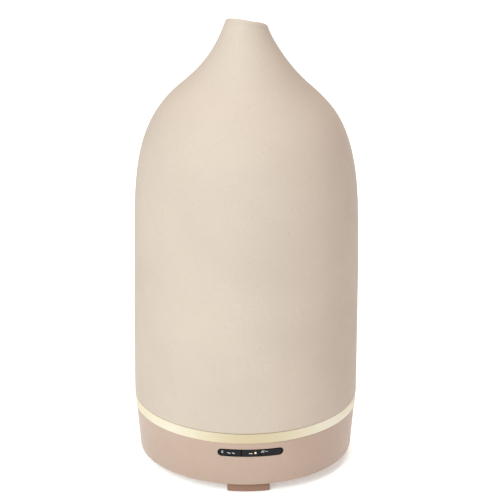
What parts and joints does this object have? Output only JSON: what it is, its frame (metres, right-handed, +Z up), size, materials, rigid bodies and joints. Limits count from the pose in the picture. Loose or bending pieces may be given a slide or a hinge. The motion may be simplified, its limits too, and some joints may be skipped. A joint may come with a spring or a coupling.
{
  "type": "essential oil diffuser",
  "caption": "Bottle-shaped matte ceramic aroma diffuser with a slanted mouth, a glowing ring, a short plastic base with a key panel, and a lift-off cover over a lidded water tank.",
  "frame": {"origin": "on the floor under the middle of the body, between the feet", "axes": "+Z up through the mouth, -Y to the front with the key panel, +X to the right seen from the front"},
  "size_m": [0.0898, 0.0898, 0.1867],
  "materials": {
    "cover_ceramic": "matte unglazed stoneware with a fine speckle",
    "base_plastic": "satin moulded plastic",
    "ring_diffuser": "translucent, lit from inside",
    "black_panel": "polished",
    "amber_lens": "clear amber",
    "frosted_plastic": "frosted, translucent",
    "white_plastic": "moulded, slightly translucent",
    "dark_plastic": "moulded",
    "circuit_board": "lacquered laminate",
    "bright_metal": "plated",
    "piezo_brass": "polished disc",
    "silicone": "matte silicone",
    "foot_rubber": "matte",
    "led_emitter": "lit phosphor",
    "red_wire": "insulated wire",
    "white_wire": "insulated wire",
    "black_wire": "insulated wire"
  },
  "bodies": {
    "base": {"base_housing": "base_plastic", "bottom_plate": "base_plastic", "light_ring": "ring_diffuser", "button_bezel": "black_panel", "indicator_lens": "amber_lens", "water_tank": "white_plastic", "air_duct_cap": "white_plastic", "transducer_connector": "white_plastic", "fan_connector": "white_plastic", "led_connector": "white_plastic", "mist_switch": "dark_plastic", "light_switch": "dark_plastic", "dc_jack": "dark_plastic", "controller_chip": "dark_plastic", "driver_transistor": "dark_plastic", "inductor": "dark_plastic", "fan_housing": "dark_plastic", "control_board": "circuit_board", "switch_board": "circuit_board", "led_board": "circuit_board", "capacitor": "bright_metal", "transducer_retainer": "bright_metal", "retainer_screw_1": "bright_metal", "retainer_screw_2": "bright_metal", "retainer_screw_3": "bright_metal", "case_screw_1": "bright_metal", "case_screw_2": "bright_metal", "case_screw_3": "bright_metal", "case_screw_4": "bright_metal", "board_screw_1": "bright_metal", "board_screw_2": "bright_metal", "fan_screw_1": "bright_metal", "fan_screw_2": "bright_metal", "transducer_disc": "piezo_brass", "transducer_seal": "silicone", "ring_gasket": "silicone", "foot_front": "foot_rubber", "foot_left": "foot_rubber", "foot_right": "foot_rubber", "indicator_led": "led_emitter", "led_1": "led_emitter", "led_2": "led_emitter", "led_3": "led_emitter", "led_4": "led_emitter", "transducer_lead": "red_wire", "led_lead": "white_wire", "switch_lead": "white_wire", "fan_lead": "black_wire", "jack_lead": "black_wire", "air_duct": "white_plastic"},
    "lid": {"inner_lid": "frosted_plastic", "splash_guard": "frosted_plastic", "mist_chimney": "frosted_plastic"},
    "cover": {"ceramic_cover": "cover_ceramic"},
    "mist_key": {"mist_button": "black_panel", "mist_switch_plunger": "white_plastic"},
    "light_key": {"light_button": "black_panel", "light_switch_plunger": "white_plastic"},
    "rotor": {"fan_rotor": "dark_plastic"}
  },
  "joints": [
    {"name": "lid_lift", "type": "slide", "parent": "base", "child": "lid", "axis": [0, 0, 1], "range_m": [0, 0.06]},
    {"name": "cover_lift", "type": "slide", "parent": "lid", "child": "cover", "axis": [0, 0, 1], "range_m": [0, 0.14]},
    {"name": "mist_press", "type": "slide", "parent": "base", "child": "mist_key", "axis": [0, 1, 0], "range_m": [0, 0.0004], "stiffness_N_per_m": 800, "springref_m": -0.0005},
    {"name": "light_press", "type": "slide", "parent": "base", "child": "light_key", "axis": [0, 1, 0], "range_m": [0, 0.0004], "stiffness_N_per_m": 800, "springref_m": -0.0005},
    {"name": "fan_spin", "type": "hinge", "parent": "base", "child": "rotor", "pos_m": [-0.0195, 0, 0.01], "axis": [0, 0, 1], "continuous": true}
  ]
}
